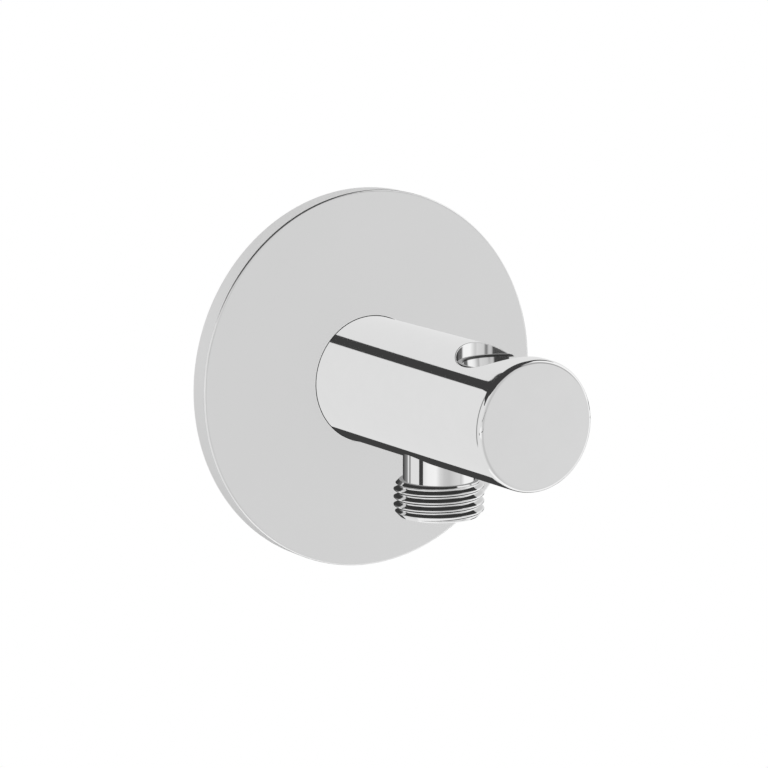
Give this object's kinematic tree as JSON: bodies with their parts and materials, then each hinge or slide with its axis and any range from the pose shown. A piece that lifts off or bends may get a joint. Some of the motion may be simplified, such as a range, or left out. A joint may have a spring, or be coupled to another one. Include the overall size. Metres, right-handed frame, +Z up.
{
  "type": "wall outlet elbow",
  "caption": "Round wall outlet elbow with a flat rosette, a downward G 1/2 hose outlet with a non-return valve, and a slotted handset holder in the end of its body.",
  "frame": {"origin": "centre of the rosette's back, on the wall plane and on the body's axis", "axes": "+Y into the wall along the wall connection, -Y along the body away from the wall, +Z up, +X to the side that the hose slot opens to"},
  "size_m": [0.09, 0.091, 0.09],
  "materials": {
    "chrome": "polished chrome plate",
    "raw_brass": "turned, bare",
    "steel": "stainless, as drawn",
    "black_rubber": "moulded, matt",
    "seal_foam": "closed-cell foam",
    "fibre": "pressed fibre",
    "valve_plastic": "moulded, white"
  },
  "bodies": {
    "elbow": {"body": "chrome", "rosette": "chrome", "outlet_nipple": "chrome", "holder_sleeve": "chrome", "wall_nipple": "raw_brass", "grub_screw": "steel", "valve_spring": "steel", "spigot_o_ring_rear": "black_rubber", "spigot_o_ring_front": "black_rubber", "rosette_o_ring": "black_rubber", "valve_o_ring": "black_rubber", "wall_seal": "seal_foam", "outlet_gasket": "fibre", "valve_seat": "valve_plastic", "valve_cage": "valve_plastic"},
    "poppet": {"valve_poppet": "valve_plastic", "poppet_seal": "black_rubber"}
  },
  "joints": [
    {"name": "poppet_slide", "type": "slide", "parent": "elbow", "child": "poppet", "axis": [0, 0, -1], "range_m": [0, 0.002], "stiffness_N_per_m": 150, "springref_m": -0.004, "deforming": ["valve_spring"]}
  ]
}
